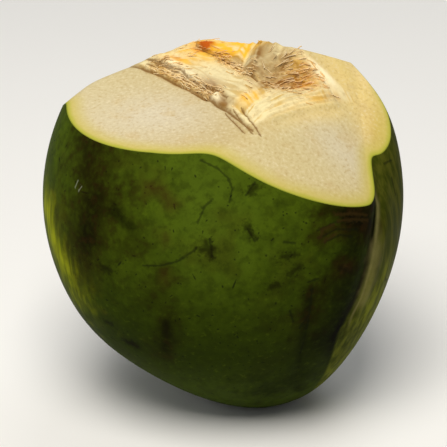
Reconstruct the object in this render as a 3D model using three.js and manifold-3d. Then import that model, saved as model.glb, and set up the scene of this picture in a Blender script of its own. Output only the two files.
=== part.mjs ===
// A green coconut, trimmed by hand: a leaning, three-lobed husk whose stem end has been chopped off
// in a few flat cuts, with a torn, stringy crown left standing where the last piece broke away.
// Millimetres and degrees, +Z up. The origin is the middle of the small flat spot it rests on.
import * as THREE from 'three';
import { mergeVertices } from 'three/addons/utils/BufferGeometryUtils.js';
import Module from 'manifold-3d';

// ---- Driving dimensions: the husk, in its own frame ---------------------------------------------
// Its axis runs from the tip (-1) to the stem (+1); angles go round the axis, from +X towards +Y.
const MIDDLE = [-4, 4, 94];        // middle of the fruit above the flat spot
const BELLY_RADIUS = 83;           // mean radius half way along
const HALF_LENGTH = 98;            // middle to tip, along the axis
const FULLNESS = [0.13, -0.15, 0.025]; // radius gained along the axis: straight, squared, cubed
const LOBES = { gain: 0.045, angle: -31 };       // the three soft ridges
const FLATTENING = { gain: -0.01, angle: 10 };   // slightly narrower one way than the other
const TIP_SHIFT = [-7, -6];        // sideways bend of the tip end
const LEAN_LEFT = 20;              // the stem end leans towards -X
const LEAN_BACK = 5;               // and a little towards +Y

// Lengthwise furrows (+ depth) and worn crests (- depth): angle at mid-length, turn per unit of
// length, half width in degrees, and where along the axis the furrow fades in.
const FURROWS = [
  { angle: -85, turn: 4, half: 8, depth: 3, fade: [-0.5, 0.6] },           // broad, at the front
  { angle: -31, turn: 36, half: 3, depth: 4.5, fade: [-0.7, 0.1] },        // deep, at the right
  { angle: -24, turn: 0, half: 6, depth: 5.5, fade: [-0.4, 0.25] },        // its wide bank
  { angle: -4, turn: 0, half: 4.5, depth: -1, fade: [-0.1, 0.25] },        // shoulder beside it
  { angle: -30, turn: 27, half: 2, depth: -1.3, fade: [-0.7, -0.2] },      // worn crest
  { angle: -61, turn: 20, half: 3.5, depth: 0.7, fade: [-0.1, -0.4] },     // faint line
];

// Local fullness of the skin: centre, push and reach, all from the fruit's middle.
const SWELLS = [
  { at: [-63, -30, -46], push: [-1.3, -0.4, -0.8], reach: 20 }, // cheek low on the left
  { at: [-18, 15, -84], push: [0, 0, -11.5], reach: 18 },        // heel under the weight of the fruit
];

// ---- Driving dimensions: the cuts ----------------------------------------------------------------
// Each cut is height over the fruit's middle, with its rise along x and along y.
const LEFT_CUT = { height: 64.3, x: 0.08, y: 0.16 };
const LEFT_END = { height: 66.1, x: 0.13, y: 0.16 };   // where the left cut drops a little
const FRONT_CUT = { height: 88.9, x: -0.44, y: 0.56, bow: 0.008, bowAt: 20 };
const RIGHT_CUT = { height: 82, x: -0.41, y: 0.58 };
const CROWN = { height: 71, x: 0.2, y: 0.27 };
const BACK_CUTS = [
  { height: 118, x: 0.87, y: -0.32 },
  { height: 99, x: 0.55, y: -0.54 },
  { height: 92.5, x: 0.37, y: -0.6 },
  { height: 84.5, x: -0.2, y: -0.6 },
];
const EDGE_SOFTNESS = 1.0;         // how far the ridges between cuts are rounded over

// ---- Driving dimensions: the torn crown, as places [x, y] from the fruit's middle ---------------
const CROWN_CENTRE = [8, -10];     // where the rings of the cut top run together
const BREAK = { from: [-48, 19], to: [9, -50], bow: 2.7, fade: [66, 90] };
const BREAK_STEPS = [              // the wall rises in two steps, with a narrow lip between them
  { share: 0.42, from: -0.5, to: 1.1 },
  { share: 0.58, from: 3.4, to: 5.8 },
];
const TORN_EDGE = { from: [8, -46], to: [49, -13], bow: 0 };

// Splits beside the break: how far behind it, where along it they start and end, depth, half width.
const SPLITS = [
  { behind: 0, start: 0, end: 88, depth: 1.6, half: 1.3 },    // at the foot of the wall
  { behind: 4.5, start: 12, end: 62, depth: 2, half: 1.4 },   // on the step of the wall
  { behind: 20, start: 22, end: 65, depth: 2.8, half: 1.7 },  // where the smooth slab ends
];
const SLAB_LIP = { behind: 7, start: 12, end: 42, height: 1, half: 1.5 };

// Forks: short parallel splits that run on past the foot of the wall.
const FORKS = { count: 3, at: [-4, -33], spacing: 3.5, length: 20, angle: -65, depth: 1.4, half: 1 };
const WHITE_RIDGE = { from: [30, 0], to: [40, -12], height: 1.8, half: 2.6 };

// Mounds and hollows: height, with reach along and across a direction given in degrees.
const MOUNDS = [
  { at: [12, 0], height: 3.2, along: 8.5, across: 5, angle: 75 },      // torn stub
  { at: [25, -12], height: -5, along: 9.5, across: 5.5, angle: 25 },   // hollow beside the stub
  { at: [-8, -22], height: 2.6, along: 2.4, across: 2.2, angle: 0 },   // clump of fibre in the split
  { at: [-13, 17], height: 1.6, along: 8, across: 3, angle: -15 },     // raised fibres at the back
];

// Bundles: parallel ridges of fibre that start side by side round a place and run the same way.
const BUNDLES = [
  { count: 6, from: [11, -39], angle: 39, length: 43, width: 10, height: 1.3, half: 0.9 },  // fan
  { count: 4, from: [16, -11], angle: 20, length: 18, width: 11, height: 1.8, half: 1 },    // hollow
  { count: 4, from: [-24, 13], angle: -13, length: 30, width: 10, height: 1.1, half: 1.1 }, // back
];

// Ripples of torn fibre, running along the break on the crown and along the torn edge beside it.
const RIPPLES = [
  { wave: 5.2, height: 0.4, phase: 0.6 },
  { wave: 3.1, height: 0.25, phase: 2.1 },
];
const SLAB = [13, 20];             // the smoother slab beside the break ends between these widths
const SLAB_ROUGHNESS = 0.3;        // its share of the ripples

// ---- Mesh fineness --------------------------------------------------------------------------------
const COLUMNS = 84;                // lengthwise lines round the fruit
const SKIN_ROWS = 23;              // rings from the tip to the cut edge
const TOP_ROWS = 32;               // rings from the cut edge to the middle of the crown
const COLUMN_CROWDING = 0.55;      // how much closer the columns stand at the deep furrow
const CROWDING_ANGLE = -34;
const TOP_CROWDING = 1.25;         // how much closer the rings stand in the torn crown

const SKIN_GREEN = '#43540f';

// ---- Small helpers --------------------------------------------------------------------------------
const radians = (degrees) => degrees * Math.PI / 180;
const bell = (t) => Math.exp(-t * t / 2);
const clamp01 = (t) => Math.min(1, Math.max(0, t));
const mix = (a, b, t) => a + (b - a) * t;

function smooth(start, end, value) {
  const t = clamp01((value - start) / (end - start));
  return t * t * (3 - 2 * t);
}

// The signed angle from one direction to another, in degrees between -180 and 180.
function turnBetween(from, to) {
  return ((to - from + 540) % 360 + 360) % 360 - 180;
}

// Where a place lies beside a line that bows sideways: along it, across it, and its length.
function beside(line, x, y) {
  const run = [line.to[0] - line.from[0], line.to[1] - line.from[1]];
  const length = Math.hypot(...run);
  const [ux, uy] = [run[0] / length, run[1] / length];
  const [dx, dy] = [x - line.from[0], y - line.from[1]];
  const along = dx * ux + dy * uy;
  const share = clamp01(along / length);
  const across = dy * ux - dx * uy - (line.bow ?? 0) * 4 * share * (1 - share);
  return { along, across, length };
}

// The lowest of several heights, with the ridges between them rounded over.
function softLowest(heights) {
  const lowest = Math.min(...heights);
  const spread = heights.reduce((sum, height) => sum + Math.exp((lowest - height) / EDGE_SOFTNESS), 0);
  return lowest - EDGE_SOFTNESS * Math.log(spread);
}

// How strongly a place feels a band of the given half width, which tapers at both ends.
function inBand(along, across, length, half) {
  return bell(across / half) * smooth(-half, 4 * half, Math.min(along, length - along));
}

function nearLine(line, x, y) {
  const { along, across, length } = beside(line, x, y);
  return inBand(along, across, length, line.half);
}

// The same for a band that runs beside the break.
function besideBreak({ behind, start, end, half }, x, y) {
  const { along, across } = beside(BREAK, x, y);
  return inBand(along - start, across - behind, end - start, half);
}

// ---- The husk ---------------------------------------------------------------------------------------
function furrowDepth(angle, u) {
  let depth = 0;
  for (const furrow of FURROWS) {
    const off = turnBetween(furrow.angle + furrow.turn * u, angle);
    depth += furrow.depth * bell(off / furrow.half) * smooth(...furrow.fade, u);
  }
  return depth;
}

function radiusAt(angle, u) {
  const [straight, squared, cubed] = FULLNESS;
  const profile = Math.sqrt(Math.max(0, 1 - u * u))
    * (1 + straight * u + squared * u * u + cubed * u ** 3);
  const section = 1 + LOBES.gain * Math.cos(3 * radians(angle - LOBES.angle))
    + FLATTENING.gain * Math.cos(2 * radians(angle - FLATTENING.angle));
  return BELLY_RADIUS * profile * section - furrowDepth(angle, u) * Math.sqrt(1 - u * u);
}

const LEAN = new THREE.Matrix4()
  .makeRotationY(-radians(LEAN_LEFT))
  .multiply(new THREE.Matrix4().makeRotationX(-radians(LEAN_BACK)));

// A point of the uncut skin, from the fruit's middle.
function skinPoint(angle, u) {
  const bend = ((1 - u) / 2) ** 2;
  const radius = radiusAt(angle, u);
  const point = new THREE.Vector3(
    radius * Math.cos(radians(angle)) + TIP_SHIFT[0] * bend,
    radius * Math.sin(radians(angle)) + TIP_SHIFT[1] * bend,
    HALF_LENGTH * u,
  ).applyMatrix4(LEAN);
  for (const swell of SWELLS) {
    const near = bell(point.distanceTo(new THREE.Vector3(...swell.at)) / swell.reach);
    point.addScaledVector(new THREE.Vector3(...swell.push), near);
  }
  return point;
}

// ---- The cut top --------------------------------------------------------------------------------------
function cutHeight(cut, x, y) {
  const bow = (cut.bow ?? 0) * (x - (cut.bowAt ?? 0)) ** 2 / 2;
  return cut.height + cut.x * x + cut.y * y - bow;
}

// 1 inside the torn crown, 0 on the clean cuts.
function tornShare(x, y) {
  const pastBreak = beside(BREAK, x, y).across;
  const insideEdge = beside(TORN_EDGE, x, y).across;
  return smooth(-0.5, 1.5, pastBreak) * smooth(-1.5, 2, insideEdge);
}

function bundleRelief(bundle, x, y) {
  const [c, s] = [Math.cos(radians(bundle.angle)), Math.sin(radians(bundle.angle))];
  const [dx, dy] = [x - bundle.from[0], y - bundle.from[1]];
  const [along, across] = [dx * c + dy * s, dy * c - dx * s];
  let nearest = 0;
  for (let i = 0; i < bundle.count; i += 1) {
    const offset = bundle.width * (i / (bundle.count - 1) - 0.5);
    nearest = Math.max(nearest, inBand(along, across - offset, bundle.length, bundle.half));
  }
  return bundle.height * nearest;
}

function forkDepth(x, y) {
  const turn = radians(FORKS.angle);
  let depth = 0;
  for (let i = 0; i < FORKS.count; i += 1) {
    const from = [FORKS.at[0] + i * FORKS.spacing, FORKS.at[1]];
    const to = [from[0] + FORKS.length * Math.cos(turn), from[1] + FORKS.length * Math.sin(turn)];
    depth += FORKS.depth * nearLine({ from, to, half: FORKS.half }, x, y);
  }
  return depth;
}

function moundRelief(mound, x, y) {
  const [dx, dy] = [x - mound.at[0], y - mound.at[1]];
  const [c, s] = [Math.cos(radians(mound.angle)), Math.sin(radians(mound.angle))];
  const along = (dx * c + dy * s) / mound.along;
  const across = (dy * c - dx * s) / mound.across;
  return mound.height * bell(Math.hypot(along, across));
}

// Parallel ripples beside a line, wandering a little from side to side.
function rippleRelief(line, x, y) {
  const { along, across } = beside(line, x, y);
  const place = across + 1.5 * Math.sin(along / 9);
  let relief = 0;
  for (const { wave, height, phase } of RIPPLES) {
    relief += height * Math.sin(2 * Math.PI * place / wave + phase);
  }
  return relief;
}

function tornRelief(x, y, onFront) {
  const rough = mix(SLAB_ROUGHNESS, 1, smooth(...SLAB, beside(BREAK, x, y).across));
  const ripple = mix(rough * rippleRelief(BREAK, x, y), rippleRelief(TORN_EDGE, x, y), onFront);
  let height = ripple * tornShare(x, y);
  for (const split of SPLITS) height -= split.depth * besideBreak(split, x, y);
  height += SLAB_LIP.height * besideBreak(SLAB_LIP, x, y);
  height += WHITE_RIDGE.height * nearLine(WHITE_RIDGE, x, y);
  height -= forkDepth(x, y);
  for (const mound of MOUNDS) height += moundRelief(mound, x, y);
  for (const bundle of BUNDLES) height += bundleRelief(bundle, x, y);
  return height;
}

function topHeight(x, y) {
  const { along, across } = beside(BREAK, x, y);
  let raised = 0;
  for (const step of BREAK_STEPS) raised += step.share * smooth(step.from, step.to, across);
  raised *= 1 - smooth(...BREAK.fade, along);
  const left = Math.min(cutHeight(LEFT_CUT, x, y), cutHeight(LEFT_END, x, y));
  const crown = mix(left, cutHeight(CROWN, x, y), raised);
  const front = Math.max(cutHeight(FRONT_CUT, x, y), cutHeight(RIGHT_CUT, x, y));
  const backs = BACK_CUTS.map((cut) => cutHeight(cut, x, y));
  const onFront = smooth(-1.5, 1.5, crown - front);
  return softLowest([crown, front, ...backs]) + tornRelief(x, y, onFront);
}

// The place along a lengthwise line where the skin meets the cut.
function rimPosition(angle) {
  let [low, high] = [-0.8, 0.98];
  for (let step = 0; step < 40; step += 1) {
    const u = (low + high) / 2;
    const point = skinPoint(angle, u);
    if (point.z < topHeight(point.x, point.y)) low = u;
    else high = u;
  }
  return low;
}

// ---- The solid ------------------------------------------------------------------------------------------
function columnAngle(column) {
  const turn = 2 * Math.PI * column / COLUMNS;
  return CROWDING_ANGLE + (turn - COLUMN_CROWDING * Math.sin(turn)) * 180 / Math.PI;
}

// Points in rings from the tip to the crown, then the triangles that join ring to ring.
function huskGeometry() {
  const points = [skinPoint(0, -1)];
  const angles = Array.from({ length: COLUMNS }, (_, column) => columnAngle(column));
  const ends = angles.map((angle) => Math.acos(-rimPosition(angle)));
  for (let row = 1; row <= SKIN_ROWS; row += 1) {
    angles.forEach((angle, column) => {
      points.push(skinPoint(angle, -Math.cos(ends[column] * row / SKIN_ROWS)));
    });
  }
  const rim = points.slice(-COLUMNS);
  for (let row = 1; row < TOP_ROWS; row += 1) {
    const share = (1 - row / TOP_ROWS) ** TOP_CROWDING;
    for (const edge of rim) {
      const x = mix(CROWN_CENTRE[0], edge.x, share);
      const y = mix(CROWN_CENTRE[1], edge.y, share);
      points.push(new THREE.Vector3(x, y, topHeight(x, y)));
    }
  }
  points.push(new THREE.Vector3(...CROWN_CENTRE, topHeight(...CROWN_CENTRE)));

  const triangles = [];
  const rings = SKIN_ROWS + TOP_ROWS - 1;
  const last = points.length - 1;
  for (let column = 0; column < COLUMNS; column += 1) {
    const next = (column + 1) % COLUMNS;
    triangles.push(0, 1 + next, 1 + column);
    for (let ring = 0; ring < rings - 1; ring += 1) {
      const [here, above] = [1 + ring * COLUMNS, 1 + (ring + 1) * COLUMNS];
      triangles.push(here + column, here + next, above + next);
      triangles.push(here + column, above + next, above + column);
    }
    const top = 1 + (rings - 1) * COLUMNS;
    triangles.push(top + column, top + next, last);
  }
  const geometry = new THREE.BufferGeometry().setFromPoints(points);
  geometry.setIndex(triangles);
  return geometry.translate(...MIDDLE);
}

function toSolid(wasm, geometry) {
  return new wasm.Manifold(new wasm.Mesh({
    numProp: 3,
    vertProperties: new Float32Array(geometry.attributes.position.array),
    triVerts: new Uint32Array(geometry.index.array),
  }));
}

function toGeometry(solid) {
  const mesh = solid.getMesh();
  const geometry = new THREE.BufferGeometry();
  geometry.setAttribute('position', new THREE.BufferAttribute(mesh.vertProperties, 3));
  geometry.setIndex(new THREE.BufferAttribute(mesh.triVerts, 1));
  geometry.computeVertexNormals();
  return geometry;
}

// The flat spot: everything below the resting plane is taken off.
function restOnFlat(wasm, husk) {
  const size = 200;
  const below = new THREE.BoxGeometry(size, size, size).translate(0, 0, -size / 2);
  const welded = mergeBox(below);
  return toGeometry(toSolid(wasm, husk).subtract(toSolid(wasm, welded)));
}

// A box with its corners shared, as a closed body needs.
function mergeBox(box) {
  box.deleteAttribute('normal');
  box.deleteAttribute('uv');
  return mergeVertices(box);
}

const wasm = await Module();
wasm.setup();

const coconut = new THREE.Mesh(
  restOnFlat(wasm, huskGeometry()),
  new THREE.MeshStandardMaterial({ color: SKIN_GREEN, roughness: 0.45, metalness: 0, flatShading: true }),
);
coconut.name = 'green_coconut';

const part = new THREE.Group();
part.add(coconut);

export default part;
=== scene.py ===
# %% [markdown]
# # A green coconut, trimmed by hand
# A green coconut is sold with its stem end chopped off in a few blows of a heavy knife. What is
# left is a waxy green skin, broad pale cuts through the spongy husk, and a torn, stringy crown
# where the last piece broke away instead of being cut. It grew in one piece, so it is modelled
# as one husk, and only the loose fibres of the torn crown are a second object that lies on it.
#
# The notebook goes in this order: the shape of the husk, its mesh, what grows where on it, the
# two finishes, the loose fibres, and the studio.

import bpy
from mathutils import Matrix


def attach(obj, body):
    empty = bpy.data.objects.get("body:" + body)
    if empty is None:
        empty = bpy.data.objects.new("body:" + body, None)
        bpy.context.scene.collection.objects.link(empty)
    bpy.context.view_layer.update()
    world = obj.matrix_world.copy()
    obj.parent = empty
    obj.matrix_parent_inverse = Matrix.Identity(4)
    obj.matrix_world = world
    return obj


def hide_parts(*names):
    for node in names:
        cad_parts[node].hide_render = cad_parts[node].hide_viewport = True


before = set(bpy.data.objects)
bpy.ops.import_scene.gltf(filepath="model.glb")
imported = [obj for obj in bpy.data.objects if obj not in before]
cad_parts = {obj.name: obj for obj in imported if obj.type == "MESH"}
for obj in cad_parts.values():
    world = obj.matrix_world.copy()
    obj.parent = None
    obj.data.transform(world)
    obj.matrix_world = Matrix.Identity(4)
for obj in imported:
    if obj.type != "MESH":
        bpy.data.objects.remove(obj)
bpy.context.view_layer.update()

# %% Other modules, and small helpers for shapes
import math

import bpy
import numpy as np
from mathutils import Matrix, Vector

MM = 0.001  # the shape is worked out in millimetres, and Blender's unit is the metre


def new_object(name, data):
    made = bpy.data.objects.new(name, data)
    bpy.context.collection.objects.link(made)
    return made


def new_mesh(name, points, faces):
    mesh = bpy.data.meshes.new(name)
    mesh.from_pydata(points, [], faces)
    return mesh


def bell(t):
    """1 at t = 0, fading smoothly on both sides."""
    return np.exp(-t * t / 2)


def mix(a, b, share):
    return a + (b - a) * share


def smooth(start, end, value):
    """0 before start, 1 after end, and an S-shaped step between them."""
    t = np.clip((value - start) / (end - start), 0, 1)
    return t * t * (3 - 2 * t)


def beside(line, x, y):
    """How far places lie along a line and across it, where the line may bow sideways."""
    (x0, y0), (x1, y1) = line["from"], line["to"]
    length = math.hypot(x1 - x0, y1 - y0)
    ux, uy = (x1 - x0) / length, (y1 - y0) / length
    along = (x - x0) * ux + (y - y0) * uy
    share = np.clip(along / length, 0, 1)
    across = (y - y0) * ux - (x - x0) * uy - line.get("bow", 0) * 4 * share * (1 - share)
    return along, across, length


def turned(x, y, at, degrees):
    """How far places lie along a direction and across it, counted from one place."""
    turn = math.radians(degrees)
    dx, dy = x - at[0], y - at[1]
    return dx * math.cos(turn) + dy * math.sin(turn), dy * math.cos(turn) - dx * math.sin(turn)


def in_band(along, across, length, half):
    """How strongly places feel a band of some half width, which tapers at both ends."""
    return bell(across / half) * smooth(-half, 4 * half, np.minimum(along, length - along))


def near_line(line, x, y):
    along, across, length = beside(line, x, y)
    return in_band(along, across, length, line["half"])


# %% [markdown]
# ## Smooth random values
# Husk fibre, stains and worn skin are irregular, but not without order: they change smoothly over
# some distance. A lattice of random numbers, blended between its corners, gives such values. The
# lattice comes from a fixed seed, so that every run makes the same fruit.

# %% Value noise
LATTICE_SIZE = 48
LATTICE = np.random.default_rng(seed=11).random((LATTICE_SIZE,) * 3)


def noise(x, y, z=0.0):
    """Random values from -1 to 1 that change smoothly over about one unit."""
    place = np.stack(np.broadcast_arrays(x, y, z), axis=-1)
    corner = np.floor(place).astype(int)
    share = smooth(0, 1, place - corner)
    total = 0
    for step in np.ndindex(2, 2, 2):
        weight = np.prod(np.where(np.array(step) == 1, share, 1 - share), axis=-1)
        i, j, k = np.moveaxis((corner + step) % LATTICE_SIZE, -1, 0)
        total = total + weight * LATTICE[i, j, k]
    return total * 2 - 1


print("noise runs from", noise(np.arange(99) / 3, 0.5).min().round(2), "up")

# %% [markdown]
# ## The husk's form
# A coconut's husk is round at the tip, fuller towards the stem, and has three soft ridges, so its
# cross-section is a rounded triangle. A radius that depends on the angle round the axis and on the
# place along it says all of that in one formula. This fruit leans, and one furrow on its right
# side is deep. All places are in millimetres from the fruit's middle.

# %% Dimensions of the husk
MIDDLE = np.array([-4, 4, 94])     # middle of the fruit above the flat spot it rests on
BELLY_RADIUS = 83
HALF_LENGTH = 98
FULLNESS = (0.13, -0.15, 0.025)
LOBES = {"gain": 0.045, "angle": -31}
FLATTENING = {"gain": -0.01, "angle": 10}
TIP_SHIFT = (-7, -6)
LEAN_LEFT, LEAN_BACK = math.radians(20), math.radians(5)
LEAN = np.array(Matrix.Rotation(-LEAN_LEFT, 3, "Y") @ Matrix.Rotation(-LEAN_BACK, 3, "X"))

# Lengthwise furrows, and crests where the depth is below 0: angle, its turn towards the stem and half
# width in degrees, depth in mm, and where along the fruit it fades in.
FURROWS = {
    "broad furrow": (-85, 4, 8, 3, (-0.5, 0.6)),
    "deep furrow": (-31, 36, 3, 4.5, (-0.7, 0.1)),
    "wide bank": (-24, 0, 6, 5.5, (-0.4, 0.25)),
    "shoulder": (-4, 0, 4.5, -1, (-0.1, 0.25)),
    "worn crest": (-30, 27, 2, -1.3, (-0.7, -0.2)),
    "faint line": (-61, 20, 3.5, 0.7, (-0.1, -0.4)),
}
SWELLS = [
    {"at": (-63, -30, -46), "push": (-1.3, -0.4, -0.8), "reach": 20},
    {"at": (-18, 15, -84), "push": (0, 0, -11.5), "reach": 18},
]


def beside_furrow(name, angle, u):
    """Degrees round the fruit from a furrow's middle line."""
    middle, turn = FURROWS[name][:2]
    return (angle - middle - turn * u + 540) % 360 - 180


def furrow_depth(angle, u):
    depth = 0
    for name, (_, _, half, deepest, fade) in FURROWS.items():
        depth = depth + deepest * bell(beside_furrow(name, angle, u) / half) * smooth(*fade, u)
    return depth


def skin_points(angle, u):
    """Points of the uncut skin: angle in degrees round the axis, u from -1 (tip) to 1 (stem)."""
    a = np.radians(angle)
    straight, squared, cubed = FULLNESS
    roundness = np.sqrt(np.maximum(0, 1 - u * u))
    section = (1 + LOBES["gain"] * np.cos(3 * (a - math.radians(LOBES["angle"])))
               + FLATTENING["gain"] * np.cos(2 * (a - math.radians(FLATTENING["angle"]))))
    full = 1 + straight * u + squared * u**2 + cubed * u**3
    radius = roundness * (BELLY_RADIUS * full * section - furrow_depth(angle, u))
    bend = ((1 - u) / 2) ** 2
    x = radius * np.cos(a) + TIP_SHIFT[0] * bend
    y = radius * np.sin(a) + TIP_SHIFT[1] * bend
    points = np.stack([x, y, HALF_LENGTH * u + 0 * a], axis=-1) @ LEAN.T
    for swell in SWELLS:
        near = bell(np.linalg.norm(points - swell["at"], axis=-1) / swell["reach"])
        points = points + near[..., None] * np.array(swell["push"])
    return points


print("belly is about", round(2 * BELLY_RADIUS), "mm across")

# %% [markdown]
# ## The cut top
# Each blow of the knife leaves one plane, so the cut top is the lowest of several planes. Where
# two of them meet there is a soft ridge, because the spongy husk rounds over. On the crown the
# last piece tore away: a wall of broken fibre runs from the back left to the front, with long
# splits beside it, a stub standing up, a hollow beside the stub, and a fan of combed fibre.

# %% The cuts and the tears
# Each cut: its height over the middle, its rise along x and y, and how strongly it bows, from where.
LEFT_CUT = (64.3, 0.08, 0.16)
LEFT_END = (66.1, 0.13, 0.16)      # where the left cut drops a little
FRONT_CUT = (88.9, -0.44, 0.56, 0.008, 20)
RIGHT_CUT = (82, -0.41, 0.58)
CROWN = (71, 0.2, 0.27)
BACK_CUTS = [(118, 0.87, -0.32), (99, 0.55, -0.54), (92.5, 0.37, -0.6), (84.5, -0.2, -0.6)]
EDGE_SOFTNESS = 1.0

CROWN_CENTRE = (8, -10)
BREAK = {"from": (-48, 19), "to": (9, -50), "bow": 2.7}
# The wall rises in two steps, with a narrow lip between them: share, and mm behind the break.
BREAK_STEPS = [(0.42, -0.5, 1.1), (0.58, 3.4, 5.8)]
BREAK_FADE = (66, 90)
TORN_EDGE = {"from": (8, -46), "to": (49, -13)}
BREAK_BLEND, EDGE_BLEND, BACK_BLEND, FRONT_BLEND = (-0.5, 1.5), (-1.5, 2), (-2.5, 0.5), (-1.5, 1.5)

# %% Splits, mounds and bundles of fibre
# Splits beside the break: how far behind it, and where along it they start and end.
SPLITS = [
    {"behind": 0, "start": 0, "end": 88, "depth": 0.6, "half": 0.6},      # at the foot of the wall
    {"behind": 4.5, "start": 12, "end": 62, "depth": 0.6, "half": 0.55},   # on the step of the wall
    {"behind": 20, "start": 22, "end": 65, "depth": 1.2, "half": 0.7},    # where the smooth slab ends
]
FINE_SPLITS = {"behind": (2, 7), "start": (4, 22), "length": (22, 36)}
FINE_COUNT, FINE_SEED = 3, 3
SPLIT_PLACES = 6                   # places along a split that its line is drawn through
SPLIT_WANDER, WANDER_LENGTH = 0.5, 4     # how far a split strays to the sides, and over what length
SLAB_LIP = {"behind": 7, "start": 12, "end": 42, "height": 0.9, "half": 1.5}
FORKS = {"count": 3, "at": (-4, -33), "spacing": 3.5, "length": 20, "angle": -65, "depth": 0.8, "half": 0.4}
WHITE_RIDGE = {"from": (30, 0), "to": (40, -12), "height": 1.8, "half": 2.6}

# Mounds and dips: the middle, the reach along and across, the angle in degrees, and the height.
STUB = ((12, 0), 8.5, 4.4, 75, 4.0)
CREVICE = ((5, -1), 7, 1.7, 75, -2.4)
HOLLOW = ((25, -12), 9.5, 5.5, 25, -5)
CLUMP = ((-8, -22), 1.9, 1.8, 0, 2.6)
BACK_TUFT = ((-13, 17), 8, 3, -15, 1.6)
MOUNDS = [STUB, CREVICE, HOLLOW, CLUMP, BACK_TUFT]
# Bundles of fibre: where they start, their angle, length and width together, how many ridges,
# and each ridge's height and half width.
BUNDLES = [
    ((11, -39), 39, 43, 10, 6, 1.3, 0.9),
    ((16, -11), 20, 18, 11, 4, 1.8, 1.0),
    ((-24, 13), -13, 30, 10, 4, 1.1, 1.1),
]
print("forms on the torn crown:", len(SPLITS), "splits,", len(MOUNDS), "mounds,", len(BUNDLES), "bundles")


# %% How the cuts meet, and what a tear leaves
def cut_height(cut, x, y):
    height, rise_x, rise_y, bow, bow_at = (*cut, 0, 0)[:5]
    return height + rise_x * x + rise_y * y - bow * (x - bow_at) ** 2 / 2


def soft_lowest(heights):
    """The lowest of several heights, with the ridges between them rounded over."""
    lowest = np.minimum.reduce(heights)
    spread = sum(np.exp((lowest - height) / EDGE_SOFTNESS) for height in heights)
    return lowest - EDGE_SOFTNESS * np.log(spread)


def in_mound(mound, x, y):
    """1 in the middle of a mound, hollow or spot, fading outwards."""
    at, length, width, angle, _ = mound
    along, across = turned(x, y, at, angle)
    return bell(np.hypot(along / length, across / width))


def bundle_relief(bundle, x, y):
    """Parallel ridges of fibre that start side by side round a place and run the same way."""
    start, angle, length, width, count, height, half = bundle
    along, across = turned(x, y, start, angle)
    offsets = width * np.linspace(-0.5, 0.5, count)
    ridges = [in_band(along, across - offset, length, half) for offset in offsets]
    return height * np.maximum.reduce(ridges)


def torn_share(x, y):
    """1 inside the torn crown, 0 on the clean cuts."""
    past_break = smooth(*BREAK_BLEND, beside(BREAK, x, y)[1])
    inside_edge = smooth(*EDGE_BLEND, beside(TORN_EDGE, x, y)[1])
    lowest_back = np.minimum.reduce([cut_height(cut, x, y) for cut in BACK_CUTS])
    before_back = lowest_back - cut_height(CROWN, x, y)
    return past_break * inside_edge * smooth(*BACK_BLEND, before_back)


# %% Random splits, and lines beside the break
def draw_fine_splits():
    """Short splits at seeded random places beside the break, in the same form as the long ones."""
    random = np.random.default_rng(FINE_SEED)
    for _ in range(FINE_COUNT):
        behind, start, length = (random.uniform(*limits) for limits in FINE_SPLITS.values())
        yield {"behind": behind, "start": start, "end": start + length, "depth": 0.25, "half": 0.35}


ALL_SPLITS = [*SPLITS, *draw_fine_splits()]


def stray(band, along):
    """How far a band beside the break wanders sideways."""
    return SPLIT_WANDER * noise(along / WANDER_LENGTH, band["behind"])


def beside_break(band, x, y, wanders=True):
    """How strongly places feel a band that runs beside the break."""
    along, across, _ = beside(BREAK, x, y)
    across = across - band["behind"] - (stray(band, along) if wanders else 0)
    return in_band(along - band["start"], across, band["end"] - band["start"], band["half"])


def split_chain(split):
    """Places along a split beside the break; its height is left out."""
    (x0, y0), (x1, y1) = BREAK["from"], BREAK["to"]
    length = math.hypot(x1 - x0, y1 - y0)
    along = np.linspace(split["start"], split["end"], SPLIT_PLACES)
    share = np.clip(along / length, 0, 1)
    across = split["behind"] + stray(split, along) + BREAK["bow"] * 4 * share * (1 - share)
    x = x0 + (along * (x1 - x0) - across * (y1 - y0)) / length
    y = y0 + (along * (y1 - y0) + across * (x1 - x0)) / length
    return np.stack([x, y, np.zeros(SPLIT_PLACES)], axis=1)


def fork_lines():
    turn = math.radians(FORKS["angle"])
    for number in range(FORKS["count"]):
        x, y = FORKS["at"][0] + number * FORKS["spacing"], FORKS["at"][1]
        end = (x + FORKS["length"] * math.cos(turn), y + FORKS["length"] * math.sin(turn))
        yield {"from": (x, y), "to": end, "half": FORKS["half"]}


# %% The height of the cut top
def torn_relief(x, y):
    height = SLAB_LIP["height"] * beside_break(SLAB_LIP, x, y, wanders=False)
    height = height + WHITE_RIDGE["height"] * near_line(WHITE_RIDGE, x, y)
    height = height - sum(split["depth"] * beside_break(split, x, y) for split in ALL_SPLITS)
    height = height - sum(FORKS["depth"] * near_line(fork, x, y) for fork in fork_lines())
    height = height + sum(mound[-1] * in_mound(mound, x, y) for mound in MOUNDS)
    return height + sum(bundle_relief(bundle, x, y) for bundle in BUNDLES)


def top_height(x, y):
    """Height of the cut top over a place, and how far the place is on the front and right cuts."""
    along, across, _ = beside(BREAK, x, y)
    raised = sum(share * smooth(start, end, across) for share, start, end in BREAK_STEPS)
    raised = raised * (1 - smooth(*BREAK_FADE, along))
    left = np.minimum(cut_height(LEFT_CUT, x, y), cut_height(LEFT_END, x, y))
    crown = mix(left, cut_height(CROWN, x, y), raised)
    front = np.maximum(cut_height(FRONT_CUT, x, y), cut_height(RIGHT_CUT, x, y))
    backs = [cut_height(cut, x, y) for cut in BACK_CUTS]
    on_front = smooth(*FRONT_BLEND, crown - front)
    return soft_lowest([crown, front, *backs]) + torn_relief(x, y), on_front


print("the crown stands", round(float(top_height(-10.0, 10.0)[0]) + MIDDLE[2]), "mm above the floor")

# %% [markdown]
# ## Torn fibre
# Husk fibre is as thick as a coarse thread, and it runs in bundles. Where it tore, it lies in
# strands that follow the bundle. Each flow below says which way the fibre runs near one place, and
# the strands are noise that is stretched along that way. Nearby flows blend into each other.

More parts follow.
